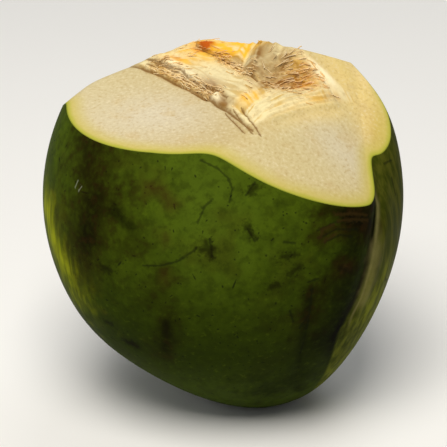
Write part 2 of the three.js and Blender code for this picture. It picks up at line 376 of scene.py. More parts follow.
# %% Which way the fibre runs, and the strands
# Each flow: where, its angle in degrees, how far it reaches, and how rough the fibre lies.
FLOWS = {
    "slab": ((-22, 0), -50, 14, 0.35),
    "slab foot": ((-2, -28), -52, 10, 0.6),
    "fan start": ((14, -37), 48, 7, 0.6),
    "fan": ((30, -27), 36, 12, 0.6),
    "back": ((-18, 15), -12, 11, 0.9),
    "stub": ((14, 1), 80, 7, 1.2),
    "hollow": ((25, -9), 18, 9, 1.3),
    "right shoulder": ((46, 6), -58, 13, 0.12),
    "middle": ((2, -12), -38, 9, 0.5),
}
STRANDS = [(13, 1.9, 0.8), (7, 0.85, 0.35)]      # length, width and height of each layer
STRAND_WANDER, STRAND_WAVE = 0.8, 5     # how far a strand strays, and the length of its waves
LAYER_GAP = 7.3                         # how far apart in the noise two layers of strands are


def flow_weights(x, y):
    weights = [bell(np.hypot(x - at[0], y - at[1]) / reach) + 1e-6 for at, _, reach, _ in FLOWS.values()]
    return np.array(weights) / np.sum(weights, axis=0)


def fibre_way(x, y):
    """Unit directions of the fibre. The angles are doubled to blend, as a line has no arrow."""
    doubled = 2 * np.radians([angle for _, angle, _, _ in FLOWS.values()])
    weights = flow_weights(x, y)
    sines, cosines = (np.tensordot(wave(doubled), weights, 1) for wave in (np.sin, np.cos))
    turn = np.arctan2(sines, cosines) / 2
    return np.cos(turn), np.sin(turn)


def strands(x, y, length, width, layer):
    """Noise from -1 to 1, stretched along the fibre."""
    total, norm = 0, 0
    for number, (flow, weight) in enumerate(zip(FLOWS.values(), flow_weights(x, y))):
        along, across = turned(x, y, (0, 0), flow[1])
        wander = STRAND_WANDER * np.sin(along / STRAND_WAVE + number)
        total = total + weight * noise(along / length, (across + wander) / width, number + LAYER_GAP * layer)
        norm = norm + weight**2
    return total / np.sqrt(norm)


CRUMBLED = [  # bands beside the break where the split is filled with broken fibre
    {"behind": 2.4, "start": 8, "end": 58, "half": 1.9},
    {"behind": 19.5, "start": 29, "end": 62, "half": 1.6},
]
LIP_SHADE = {"behind": 5.2, "start": 10, "end": 60, "half": 0.9}   # painted shade under the lip of the slab, in the brown of its fibre
CRUMBS, CRUMB_HEIGHT = (3.0, 1.2, 6), 0.25      # length, width and layer; then the height
IN_HOLLOW = 0.8                    # how crumbled the hollow is


def crumbled(x, y):
    """1 where the husk has crumbled: beside the long splits and in the hollow."""
    bands = [beside_break(band, x, y) for band in CRUMBLED]
    return np.maximum.reduce([*bands, IN_HOLLOW * in_mound(HOLLOW, x, y)])


def strand_relief(x, y):
    weights = flow_weights(x, y)
    rough = np.tensordot([rough for *_, rough in FLOWS.values()], weights, 1)
    height = 0
    for layer, (length, width, rise) in enumerate(STRANDS):
        height = height + rise * strands(x, y, length, width, layer)
    return height * torn_share(x, y) * rough + CRUMB_HEIGHT * strands(x, y, *CRUMBS) * crumbled(x, y)


# %% [markdown]
# ## The mesh
# Columns run from the tip to the cut edge and on over the top to the crown's middle, so the whole
# husk is one closed grid of rings. The columns stand closer at the deep furrow. Two extra rings,
# a hair below and a hair inside the cut edge, keep that edge crisp under smooth shading. What
# would be below the floor is pressed flat: that is the spot the fruit rests on.

# %% Rings of points
COLUMNS = 368
SKIN_ROWS = 92
TOP_ROWS = 170
COLUMN_CROWDING, CROWDING_ANGLE = 0.5, -36
TOP_CROWDING = 1.15
EDGE_WIDTH = 0.004                 # how close the extra rings are to the cut edge, as a share
LOWEST_RIM, HIGHEST_RIM, HALVINGS = -0.8, 0.98, 40

turn = 2 * np.pi * np.arange(COLUMNS) / COLUMNS
angles = CROWDING_ANGLE + np.degrees(turn - COLUMN_CROWDING * np.sin(turn))


def rim_positions(angle):
    """The place along each column where the skin meets the cut, by halving."""
    low, high = np.full_like(angle, LOWEST_RIM), np.full_like(angle, HIGHEST_RIM)
    for _ in range(HALVINGS):
        u = (low + high) / 2
        points = skin_points(angle, u)
        below = points[:, 2] < top_height(points[:, 0], points[:, 1])[0]
        low, high = np.where(below, u, low), np.where(below, high, u)
    return low


ends = np.arccos(-rim_positions(angles))
skin_shares = np.append(np.arange(1, SKIN_ROWS) / SKIN_ROWS, [1 - EDGE_WIDTH / 2, 1])
skin_u = np.array([-np.cos(ends * share) for share in skin_shares])
skin_angle = np.broadcast_to(angles, skin_u.shape)
skin_rings = skin_points(skin_angle, skin_u)

rim = skin_rings[-1]
top_shares = np.append(1 - EDGE_WIDTH, (1 - np.arange(1, TOP_ROWS) / TOP_ROWS) ** TOP_CROWDING)
top_x = CROWN_CENTRE[0] + np.outer(top_shares, rim[:, 0] - CROWN_CENTRE[0])
top_y = CROWN_CENTRE[1] + np.outer(top_shares, rim[:, 1] - CROWN_CENTRE[1])
top_z, top_on_front = top_height(top_x, top_y)
top_z = top_z + strand_relief(top_x, top_y)
top_rings = np.stack([top_x, top_y, top_z], axis=-1)

tip = skin_points(np.zeros(1), np.full(1, -1.0))
centre_height = top_height(*map(float, CROWN_CENTRE))[0] + strand_relief(*map(float, CROWN_CENTRE))
centre = np.array([[*CROWN_CENTRE, centre_height]])
points = np.concatenate([tip, skin_rings.reshape(-1, 3), top_rings.reshape(-1, 3), centre])
rest = points + MIDDLE
rest[:, 2] = np.maximum(rest[:, 2], 0)
print(len(points), "points,", round(float(rest[:, 2].max()), 1), "mm high")

# %% Faces, and the husk object
rings = len(skin_rings) + len(top_rings)
column = np.arange(COLUMNS)
following = (column + 1) % COLUMNS


def ring_faces(ring):
    here, above = 1 + ring * COLUMNS, 1 + (ring + 1) * COLUMNS
    return np.stack([here + column, here + following, above + following, above + column], axis=1)


last = len(points) - 1
top_ring = 1 + (rings - 1) * COLUMNS
faces = [np.stack([np.zeros_like(column), 1 + following, 1 + column], axis=1).tolist()]
faces += [ring_faces(ring).tolist() for ring in range(rings - 1)]
faces += [np.stack([top_ring + column, top_ring + following, np.full_like(column, last)], axis=1).tolist()]
faces = [face for ring in faces for face in ring]

husk_mesh = new_mesh("husk", (rest * MM).tolist(), faces)
husk_mesh.shade_smooth()
husk = new_object("husk", husk_mesh)

first_top_point = 1 + len(skin_rings) * COLUMNS
first_top_face = COLUMNS + (len(skin_rings) - 1) * COLUMNS
is_top_face = np.arange(len(faces)) >= first_top_face
husk_mesh.polygons.foreach_set("material_index", is_top_face.astype(np.int32))
husk_mesh.update()
print(len(faces), "faces, valid:", not husk_mesh.validate())

# %% [markdown]
# ## Placing marks by where they are seen
# It is hard to say in millimetres where a stain sits on a leaning, three-sided fruit, but easy to
# point at it in a picture. So a mark is written as a place in the camera's picture, which is 447
# dots wide and high, and the line of sight through that place is followed to the fruit.

# %% The camera's place, and lines of sight
TARGET = Vector((-8.80, 4.0, 84.64)) * MM
DISTANCE, ELEVATION = 0.95, math.radians(24)
LENS, SENSOR = 163.0, 36.0
PICTURE = 447
EYE = TARGET + DISTANCE * Vector((0, -math.cos(ELEVATION), math.sin(ELEVATION)))
EYE_MM = np.array(EYE) / MM - MIDDLE
AHEAD = np.array([0, math.cos(ELEVATION), -math.sin(ELEVATION)])
UPWARD = np.array([0, math.sin(ELEVATION), math.cos(ELEVATION)])
DOTS_AHEAD = PICTURE * LENS / SENSOR   # dots across for each unit of distance


def to_picture(points):
    """Where points on the fruit are seen in the picture."""
    offset = points - EYE_MM
    ahead = offset @ AHEAD
    return np.stack([PICTURE / 2 + DOTS_AHEAD * offset[..., 0] / ahead,
                     PICTURE / 2 - DOTS_AHEAD * (offset @ UPWARD) / ahead], axis=-1)


LOOK_HEIGHTS, LOOK_ANGLES = (-0.98, 0.9, 380), (-215, 40, 560)      # from, to, and how many
NEAREST, FARTHEST, SIGHT_STEPS = 800, 1100, 3000      # where along a line of sight the top can be

look_u, look_angle = np.meshgrid(np.linspace(*LOOK_HEIGHTS), np.linspace(*LOOK_ANGLES), indexing="ij")
look_points = skin_points(look_angle, look_u)
outward = np.cross(np.gradient(look_points, axis=1), np.gradient(look_points, axis=0))
facing = ((EYE_MM - look_points) * outward).sum(-1) > 0
HIDDEN = 1000                          # dots added to places that face away
look_seen = to_picture(look_points)


def skin_at(place):
    """The place along the axis, the angle round it, and the point of the skin seen at a picture place."""
    gap = np.hypot(*np.moveaxis(look_seen - place, -1, 0)) + np.where(facing, 0, HIDDEN)
    nearest = np.unravel_index(np.argmin(gap), gap.shape)
    return look_u[nearest], look_angle[nearest], look_points[nearest]


def skin_chain(places):
    return [skin_at(place)[2] for place in places]


def top_at(place):
    """The place (x, y) of the cut top that is seen at a picture place."""
    right, up = (place[0] - PICTURE / 2) / DOTS_AHEAD, (PICTURE / 2 - place[1]) / DOTS_AHEAD
    sight = AHEAD + up * UPWARD + np.array([right, 0, 0])
    steps = EYE_MM + np.linspace(NEAREST, FARTHEST, SIGHT_STEPS)[:, None] * sight
    below = steps[:, 2] < top_height(steps[:, 0], steps[:, 1])[0]
    return steps[np.argmax(below)][:2]


print("share of the looked-at skin that faces the camera:", facing.mean().round(2))

# %% [markdown]
# ## What grows where
# A mesh attribute is a number stored at each point, and a material can read it by name. The cut
# edge, the splits and the stains all follow the fruit's shape, so each gets an attribute, worked
# out from places on the fruit. The materials then decide what each one looks like.

# %% Store numbers on the mesh
def store(mesh, name, values):
    attribute = mesh.attributes.new(name, "FLOAT", "POINT")
    attribute.data.foreach_set("value", np.asarray(values, dtype=np.float32).ravel())


def on_skin(values):
    """Values for the skin's rings, with 0 for the cut top, and the tip as its first ring."""
    values = np.broadcast_to(values, skin_u.shape)
    return np.concatenate([[values[0].mean()], values.ravel(), np.zeros(last + 1 - first_top_point)])


def on_top(values):
    """Values for the cut top's rings, with the skin's 0, and the middle as its last ring."""
    values = np.broadcast_to(values, top_x.shape)
    return np.concatenate([np.zeros(first_top_point), values.ravel(), [values[-1].mean()]])


# %% The cut top: distance from the edge, tears, and colours of the fibre
def distance_to_rim(ring):
    """Shortest way from each point of a ring to the cut edge, in millimetres."""
    start, run = rim, np.roll(rim, -1, axis=0) - rim
    offset = ring[:, None, :] - start
    share = np.clip((offset * run).sum(-1) / (run * run).sum(-1), 0, 1)
    return np.linalg.norm(offset - share[..., None] * run, axis=-1).min(axis=1)


def patches(spots, x, y):
    """The strongest of several soft oval spots."""
    ovals = [(top_at(seen), *sizes) for seen, *sizes in spots.values()]
    return np.maximum.reduce([oval[-1] * in_mound(oval, x, y) for oval in ovals])


# Each spot: its picture place, its reach along and across in mm, its angle, and its strength.
AMBER = {  # orange and gold fibre, where the sap has dried
    "behind the slab": ((220, 49), 11, 5, -12, 1.7),
    "beside the stub": ((241, 48), 8, 4.5, -10, 1.4),
    "left end": ((176, 59), 6, 2, -40, 1.1),
    "foot of the slab": ((250, 97), 4, 3, 40, 0.7),
    "fan": ((322, 104), 15, 4, 38, 0.45),
    "hollow": ((300, 78), 9, 5, 18, 0.9),
}
RUST = {  # the darkest dried fibre
    "back": ((205, 46), 2.8, 2.0, 10, 1.6),
    "left end": ((176, 58), 2.2, 1.3, -40, 0.7),
    "hollow": ((291, 83), 7, 2.5, 20, 0.5),
}
PALE_AND_HIGHLIGHT = {  # clean white pith; the ridge spot is partly a painted highlight on the white ridge
    "ridge": ((323, 70), 6, 4, -55, 1.3),
    "slab": ((212, 74), 9, 5, -50, 0.25),
    "lip of the slab": ((184, 69), 11, 1.3, -50, 1.0),
    "fan": ((296, 113), 13, 3, 38, 0.35),
    "clump": ((215, 95), 2, 1.8, 0, 0.9),
}
WARM = {  # clean husk on the far side, which the sap has yellowed
    "right shoulder": ((345, 80), 18, 9, -58, 1.0),
    "behind the hollow": ((303, 56), 9, 4, -12, 0.8),
    "below the fan": ((316, 110), 16, 3.5, 36, 0.9),
    "shoulder spot": ((334, 62), 3, 1.5, -40, 1.0),
}
DRIED = {  # the middle of the broad cuts, which dries first and pales
    "left cut": ((155, 115), 20, 14, -20, 1.0),
    "front cut": ((345, 152), 12, 8, 0, 0.8),
}
BROWN_AND_SHADE = {  # dark brown fibre in the gaps, and painted shade in the hollow, at the foot of the stub and under the clump
    "left of the stub": ((256, 60), 7, 1.5, 75, 0.8),
    "top of the stub": ((258, 44), 3, 1.5, 0, 0.5),
    "right of the stub": ((286, 62), 7, 1.4, 75, 0.7),
    "foot of the stub": ((280, 82), 7, 2.6, 20, 0.9),
    "hollow": ((300, 76), 8, 3, 18, 0.7),
    "above the clump": ((209, 87), 4.5, 2.2, -50, 1.1),
    "below the clump": ((222, 102), 3.5, 2, -50, 1.5),
    "under the clump": ((211, 100), 4, 1.1, -50, 1.5),
    "left crumbs": ((186, 80), 5, 1.8, -50, 0.5),
    "end of the fan": ((334, 98), 5, 1.4, 38, 0.4),
    "far edge of the slab": ((244, 66), 9, 1.8, -45, 0.8),
}
GREY_AND_SHADE = {  # old fibre without colour; the stub spot is painted shade on the stub's shadowed face
    "stub": ((273, 62), 8, 5.5, 75, 1.5),
    "slab": ((214, 76), 11, 5, -50, 0.5),
    "end of the slab": ((235, 84), 6, 4, -50, 0.35),
}
RIPE = {"right rim": ((377, 140), 14, 4, 80, 0.9)}
BARE = {  # where the cut runs out so thinly that no green shows inside the rind
    "upper right rim": ((352, 64), 16, 6, -58, 1.2),
}
FIBRE_COLOURS = {"amber": AMBER, "rust": RUST, "brown": BROWN_AND_SHADE, "grey": GREY_AND_SHADE, "pale": PALE_AND_HIGHLIGHT}
CUT_COLOURS = {"dried": DRIED, "warm": WARM, "ripe": RIPE, "bare": BARE}

# %% What the cut top's finish will read
COLOUR_STRANDS = (9, 1.1, 3)       # length, width and layer of the strands that the colours follow
ON_STRANDS, CRUMBS_IN_CRACKS, LIP_SHADE_TONE = 0.8, 0.4, 0.6
CRUMB_TONES, RIGHT_BLEND = (0.1, -0.5), (-2, 2)
SPLIT_INK, FORK_INK = 1.2, 1.3     # how wide the finish draws a split, in half widths

rim_distance = np.array([distance_to_rim(ring) for ring in top_rings])
crumble = strands(top_x, top_y, *CRUMBS)
split_tones = [beside_break(split, top_x, top_y) for split in ALL_SPLITS]
cracks = np.maximum.reduce(split_tones + [near_line(fork, top_x, top_y) for fork in fork_lines()])
matter_share = crumbled(top_x, top_y)
strand_tone = strands(top_x, top_y, *COLOUR_STRANDS)
lip_shade = LIP_SHADE_TONE * beside_break(LIP_SHADE, top_x, top_y, wanders=False)
torn = torn_share(top_x, top_y)
right_over_front = cut_height(RIGHT_CUT, top_x, top_y) - cut_height(FRONT_CUT, top_x, top_y)
right_cut = top_on_front * smooth(*RIGHT_BLEND, right_over_front)

top_numbers = {
    "rim_distance": rim_distance, "torn": torn, "on_front": top_on_front, "right_cut": right_cut,
    "strand": strand_tone, "matter": matter_share,
    # The crack number is painted shade in the splits and forks, tinted the brown of their fibre.
    "crack": np.clip(cracks * (1 - CRUMBS_IN_CRACKS * crumble), 0, 1),
    # The crumb number is crumbled fibre, plus the painted shade under the lip of the slab.
    "crumb": np.clip(matter_share * smooth(*CRUMB_TONES, crumble) + lip_shade, 0, 1),
}
on_strands = torn * (1 + ON_STRANDS * strand_tone)
for colours, shown in ((FIBRE_COLOURS, on_strands), (CUT_COLOURS, 1)):
    for name, spots in colours.items():
        top_numbers[name] = np.clip(patches(spots, top_x, top_y) * shown, 0, 1)
for name, values in top_numbers.items():
    store(husk_mesh, name, on_top(values))
print("the middle of the crown is", round(float(rim_distance.max())), "mm from the cut edge")

# %% [markdown]
# ## Marks on the skin
# The skin is waxy and bruises brown. Broad stains, and the broad painted shade and painted light
# on the green, are wide enough for the mesh's own points to carry. Each is a chain of picture
# places with a half width in millimetres and a strength, and noise frays its edge. The side that
# the camera never sees gets stains of its own, drawn at random.

# %% Broad stains, streaks and worn places
# Each mark: its half width in mm, its strength, and the picture places along its middle.
STAINS = {  # dried brown
    "left cheek": (12, 0.95, (94, 142), (93, 168), (97, 195), (90, 222), (85, 245)),
    "lower cheek": (7, 0.7, (80, 205), (104, 235)),
    "streak beside the cheek": (4, 0.6, (113, 211), (132, 228)),
    "band under the cheek": (6, 0.6, (84, 240), (110, 243), (135, 245)),
    "scar under the cut": (3.5, 0.9, (325, 212), (345, 214), (372, 209)),
    # This stain is partly painted shade, where the front face turns towards the deep furrow.
    "corner of the cut": (5, 1.0, (348, 215), (368, 230)),
    "scuff on the right": (4, 0.8, (320, 234), (342, 230)),
    "oval on the right": (4, 0.8, (341, 269), (349, 268)),
    "streak low on the right": (6, 0.7, (316, 292), (306, 318)),
    "upright smudge": (4, 0.55, (168, 312), (165, 356)),
    "faint patch": (5, 0.4, (165, 276), (152, 300)),
}
BRUISES = {  # nearly black
    "upper cheek": (4, 0.2, (86, 150), (84, 172)),
    "middle of the cheek": (4, 0.55, (96, 196), (90, 215)),
    "cheek": (3.5, 0.8, (84, 225), (87, 240)),
    "streak": (2, 0.8, (113, 211), (132, 228)),
    # This bruise is partly painted shade, where the front face turns towards the deep furrow.
    "under the cut": (3.2, 1.0, (342, 214), (366, 222)),
    "upright smudge": (2.2, 0.6, (167, 325), (165, 350)),
    "low spot": (1.8, 0.95, (129, 343), (135, 344)),
    "spot near the tip": (2.4, 0.9, (297, 390), (301, 390)),
}
REDDISH = {  # scuffs that dried red-brown
    "smudge": (2.4, 1.1, (150, 188), (163, 190), (172, 204)),
    "spot": (1.8, 0.8, (165, 234), (165, 240)),
    "lower spot": (2, 0.8, (165, 272), (165, 280)),
    "scuff on the right": (3, 0.4, (322, 233), (340, 231)),
    "oval on the right": (2.4, 0.5, (341, 269), (350, 267)),
}
YELLOWING = {  # skin that ripens yellow at both sides
    "left edge": (5.5, 1.0, (47, 212), (54, 240), (66, 266)),
    "fading down": (8, 0.5, (56, 245), (76, 295)),
    "above it": (5, 0.5, (45, 198), (46, 215)),
    "right edge": (5, 0.2, (386, 270), (368, 310)),
}
SHADE_AND_DIRT = {  # painted shade where the rind turns away from the lamp, beside the deep furrow and low down, with some dirt beside the furrow
    "beside the furrow": (10, 1.0, (362, 220), (355, 250), (340, 310), (325, 340)),
    "low on the right": (12, 0.6, (325, 340), (298, 372)),
    "low on the left": (10, 0.2, (110, 312), (150, 335)),
    "near the tip": (9, 0.8, (268, 390), (305, 374)),
    "low beside the crest": (6, 0.5, (352, 335), (338, 358)),
}
PAINTED_LIGHT = {  # painted light: the brighter green where the skin faces the lamp
    "front": (17, 1.0, (205, 168), (210, 245)),
    "left shoulder": (7, 0.6, (64, 128), (70, 152)),
    "beside it": (12, 0.5, (140, 165), (178, 200)),
}
FRAY_SIZE, FRAYS = 5, ((1, 0.45), (2.7, 0.25))      # in mm; how many times finer, and how strong
# Pale tan along the worn crest, which is partly a painted highlight where the crest catches the light.
WORN_AND_HIGHLIGHT = {"beside the crest": (2.8, 0.75, (376, 248), (364, 300))}
CREASE = [(375, 204), (372, 236), (367, 264), (362, 282), (355, 298), (345, 316), (335, 335)]
CREST = [(378, 204), (376, 236), (371, 264), (366, 282), (361, 298), (352, 316), (348, 328)]
print("broad marks:", sum(map(len, (STAINS, BRUISES, REDDISH, YELLOWING, SHADE_AND_DIRT, PAINTED_LIGHT, WORN_AND_HIGHLIGHT))))

# %% How marks lie on the skin
UNSEEN_STAINS = {"count": 9, "angles": (-5, 195), "heights": (-0.4, 0.5), "length": 18, "seed": 2}
UNSEEN_HALF, UNSEEN_STRENGTH = 6, 0.55
SHORTEST = 0.4                     # the shortest of a set of random marks, as a share of the longest
CREASE_HALVES = (2.4, 0.9)         # half widths of the deep furrow's crease, in degrees, left and right
CREST_HALF, CREST_FADE_IN, CREST_FADE_OUT = 0.55, (-0.62, -0.45), (0.0, 0.15)
SIDE_STARTS, SIDE_ENDS = (0, 3), (30, 85)                 # degrees past the crease
FAINT_HALF, FAINT_FADE, TIP_FADE = 1.3, (-0.3, -0.2), (-0.85, -0.55)


def random_chains(count, seed, length, angles, heights):
    """Short straight chains at seeded random places on the skin."""
    random = np.random.default_rng(seed)
    chains = []
    for _ in range(count):
        angle, u, way = random.uniform(*angles), random.uniform(*heights), random.uniform(0, np.pi)
        run = length * random.uniform(SHORTEST, 1) / 2
        turn_by, climb = math.degrees(run * math.cos(way) / BELLY_RADIUS), run * math.sin(way) / HALF_LENGTH
        both_ways = np.array([-1, 1])
        chains.append(skin_points(angle + turn_by * both_ways, u + climb * both_ways))
    return chains


def seen_marks(marks):
    return [(half, strength, skin_chain(places)) for half, strength, *places in marks.values()]


def near_marks(marks, points):
    """The strongest of several soft chains on the skin, with frayed edges."""
    place = np.moveaxis(points / FRAY_SIZE, -1, 0)
    fray = 1 + sum(share * noise(*(finer * place)) for finer, share in FRAYS)
    strongest = 0
    for half, strength, chain in marks:
        for start, end in zip(chain, chain[1:]):
            run = np.array(end) - start
            share = np.clip(((points - start) @ run) / (run @ run), 0, 1)
            gap = np.linalg.norm(points - start - share[..., None] * run, axis=-1)
            strongest = np.maximum(strongest, strength * bell(gap * fray / half))
    return strongest


def off_chain(places, angle, u):
    """Degrees round the fruit from a line that runs through several picture places."""
    line = sorted(skin_at(place)[:2] for place in places)
    return (angle - np.interp(u, *zip(*line)) + 540) % 360 - 180


# %% Store the marks
unseen = [(UNSEEN_HALF, UNSEEN_STRENGTH, chain) for chain in random_chains(**UNSEEN_STAINS)]
SKIN_MARKS = {"stain": STAINS, "bruise": BRUISES, "reddish": REDDISH, "yellowing": YELLOWING,
              "shade": SHADE_AND_DIRT, "fresh": PAINTED_LIGHT}
for name, marks in SKIN_MARKS.items():
    chains = seen_marks(marks) + (unseen if name == "stain" else [])
    store(husk_mesh, name, on_skin(near_marks(chains, skin_rings)))

off_crease = off_chain(CREASE, skin_angle, skin_u)
off_crest = off_chain(CREST, skin_angle, skin_u)
above_tip = smooth(*TIP_FADE, skin_u)
# Painted shadow: a dark line in the crease of the deep furrow, wider on its left side.
crease_shadow = bell(off_crease / np.where(off_crease < 0, *CREASE_HALVES)) * above_tip
crest_share = smooth(*CREST_FADE_IN, skin_u) * (1 - smooth(*CREST_FADE_OUT, skin_u))
# The pale crest line is worn tan and partly a painted highlight.
crest_line = bell(off_crest / CREST_HALF) * crest_share
faint = bell(beside_furrow("faint line", skin_angle, skin_u) / FAINT_HALF)
skin_lines = {
    "furrow": crease_shadow,
    "crest": np.maximum(crest_line, near_marks(seen_marks(WORN_AND_HIGHLIGHT), skin_rings)),
    "side": smooth(*SIDE_STARTS, off_crease) * (1 - smooth(*SIDE_ENDS, off_crease)),
    "faint_line": faint * (1 - smooth(*FAINT_FADE, skin_u)) * above_tip,
}
for name, values in skin_lines.items():
    store(husk_mesh, name, on_skin(values))
print("stored:", [a.name for a in husk_mesh.attributes if a.domain == "POINT"][-8:])

# %% [markdown]
# ## How the materials are made
# Each finish is a small tree of nodes, and one function adds them all. It links what comes from
# another node and sets the rest. Most of a natural surface is one tint over another, more in some
# places than in others, so a list of coats says most of what a finish is.

# %% Helpers for node trees
MIX_FACTOR, MIX_A, MIX_B, MIX_RESULT = 0, 6, 7, 2   # the colour sockets of a Mix node
MATHS, VECTOR_MATHS, NOISE = "ShaderNodeMath", "ShaderNodeVectorMath", "ShaderNodeTexNoise"
NOISE_ROUGHNESS = 0.55


def colour(code):
    """A hex colour, as the eye sees it, to the linear values that Blender uses."""
    shares = [int(code[i:i + 2], 16) / 255 for i in (1, 3, 5)]
    linear = [c / 12.92 if c <= 0.04045 else ((c + 0.055) / 1.055) ** 2.4 for c in shares]
    return (*linear, 1.0)


def grain(size, detail=2.0):
    """What makes a noise's lumps about `size` millimetres across."""
    return {"Scale": 1 / (size * MM), "Detail": detail, "Roughness": NOISE_ROUGHNESS}


class Nodes:
    """A tree of nodes, and how to add to it."""

    def __init__(self, tree):
        self.tree = tree
        if tree.type == "SHADER":
            self.place = self.add("ShaderNodeTexCoord").outputs["Object"]

    def fill(self, node, inputs):
        """Sets inputs to values, or links them. A node stands for its first output."""
        for socket, value in inputs.items():
            if isinstance(value, str) and value.startswith("#"):
                value = colour(value)
            source = value.outputs[0] if isinstance(value, bpy.types.Node) else value
            if isinstance(source, bpy.types.NodeSocket):
                self.tree.links.new(source, node.inputs[socket])
            else:
                node.inputs[socket].default_value = source

    def add(self, kind, *inputs, **settings):
        """Adds a node with its settings. The inputs come in their order, or as one dictionary."""
        node = self.tree.nodes.new(kind)
        for name, value in settings.items():
            setattr(node, name, value)
        by_name = len(inputs) == 1 and isinstance(inputs[0], dict)
        self.fill(node, inputs[0] if by_name else dict(enumerate(inputs)))
        return node

    def number(self, what):
        """A number: a stored one by name, a smooth step as (number, start, end), or a product as a list."""
        if isinstance(what, str):
            return self.add("ShaderNodeAttribute", attribute_name=what).outputs["Fac"]
        if isinstance(what, tuple):
            inputs = (self.number(what[0]), *what[1:])
            return self.add("ShaderNodeMapRange", *inputs, interpolation_type="SMOOTHSTEP")
        if isinstance(what, list):
            product, *others = (self.number(part) for part in what)
            for other in others:
                product = self.add(MATHS, product, other, operation="MULTIPLY")
            return product
        return what

    def coats(self, below, *layers):
        """Blends several colours over one, each with a number and a strength."""
        for above, share, strength in layers:
            inputs = {MIX_FACTOR: self.number([share, strength]), MIX_A: below, MIX_B: above}
            below = self.add("ShaderNodeMix", inputs, data_type="RGBA", clamp_factor=True).outputs[MIX_RESULT]
        return below


def new_material(name):
    """An empty material, its nodes, and its shader."""
    material = bpy.data.materials.new(name)
    material.use_nodes = True
    return material, Nodes(material.node_tree), material.node_tree.nodes["Principled BSDF"]


def new_group(name, **inputs):
    """A group of nodes that gives one number, the mark, and the group's inputs."""
    tree = bpy.data.node_groups.new(name, "ShaderNodeTree")
    for socket, kind in inputs.items():
        tree.interface.new_socket(socket, in_out="INPUT", socket_type=f"NodeSocket{kind}")
    tree.interface.new_socket("Mark", in_out="OUTPUT", socket_type="NodeSocketFloat")
    nodes = Nodes(tree)
    return nodes, nodes.add("NodeGroupInput").outputs


# %% [markdown]
# ## A scratch, as a node group
# A scratch is thinner than the mesh's own spacing, so it is drawn by the material. The group
# measures how far a point of the surface is from a straight line between two places, and turns
# that into 1 on the line and 0 beyond its width. Noise makes the line uneven. The same group
# draws the splits of the crown, where the height is left out of the distance.

# %% The scratch group
SCRATCH_GRAIN = 1.8                # size of the noise along a scratch, in mm
LEAST_GRAIN, RAGGEDNESS, WIDEST = 0.2, 3.0, 0.3


def make_scratch_group():
    nodes, given = new_group("scratch", Start="Vector", End="Vector", Keep="Vector", Width="Float")
    whole_run = nodes.add(VECTOR_MATHS, given["End"], given["Start"], operation="SUBTRACT")
    run = nodes.add(VECTOR_MATHS, whole_run, given["Keep"], operation="MULTIPLY")
    whole_offset = nodes.add(VECTOR_MATHS, nodes.place, given["Start"], operation="SUBTRACT")
    offset = nodes.add(VECTOR_MATHS, whole_offset, given["Keep"], operation="MULTIPLY")
    onto_run = nodes.add(VECTOR_MATHS, offset, run, operation="DOT_PRODUCT").outputs["Value"]
    run_squared = nodes.add(VECTOR_MATHS, run, run, operation="DOT_PRODUCT").outputs["Value"]
    along = nodes.add(MATHS, onto_run, run_squared, operation="DIVIDE")
    held = nodes.add("ShaderNodeClamp", along)
    nearest = nodes.add(VECTOR_MATHS, {0: run, "Scale": held}, operation="SCALE")
    gap = nodes.add(VECTOR_MATHS, offset, nearest, operation="DISTANCE").outputs["Value"]
    lumps = nodes.add(NOISE, {"Vector": nodes.place, **grain(SCRATCH_GRAIN, detail=3)})
    over_least = nodes.add(MATHS, lumps, LEAST_GRAIN, operation="SUBTRACT")
    ragged = nodes.add(MATHS, nodes.number([over_least, RAGGEDNESS]), WIDEST, operation="MAXIMUM")
    uneven = nodes.add(MATHS, nodes.number([gap, ragged]), given["Width"], operation="DIVIDE")
    mark = nodes.add(MATHS, 1.0, uneven, operation="SUBTRACT")
    nodes.add("NodeGroupOutput", {"Mark": nodes.number((mark, 0.0, 1.0))})
    return nodes.tree


SCRATCH = make_scratch_group()
print("scratch group:", len(SCRATCH.nodes), "nodes")


def scratches(nodes, lines, keep=(1, 1, 1)):
    """The strongest of several scratches, each a width and a chain of places. Keep can drop a direction."""
    strongest = None
    for width, chain in lines:
        for start, end in zip(chain, chain[1:]):
            ends = {"Start": (np.array(start) + MIDDLE) * MM, "End": (np.array(end) + MIDDLE) * MM}
            inputs = {**ends, "Keep": keep, "Width": width * MM}
            mark = nodes.add("ShaderNodeGroup", inputs, node_tree=SCRATCH)
            strongest = nodes.add(MATHS, strongest or mark, mark, operation="MAXIMUM")
    return strongest


# %% [markdown]
# ## Ticks all over
# Besides the scratches with a place of their own, the whole rind carries small strokes that point
# every way. A Voronoi texture divides space into cells and gives each cell a middle and a random
# colour. The colour serves as a direction, so that each cell draws one short stroke at its middle,
# and cells whose colour has too much red draw none.

# %% The tick group
TICK_GRAIN = 1.2                   # size of the noise along a stroke, in mm
THIN_END, SHORT_END = 0.4, 0.5     # where a stroke starts to fade, as a share of its size


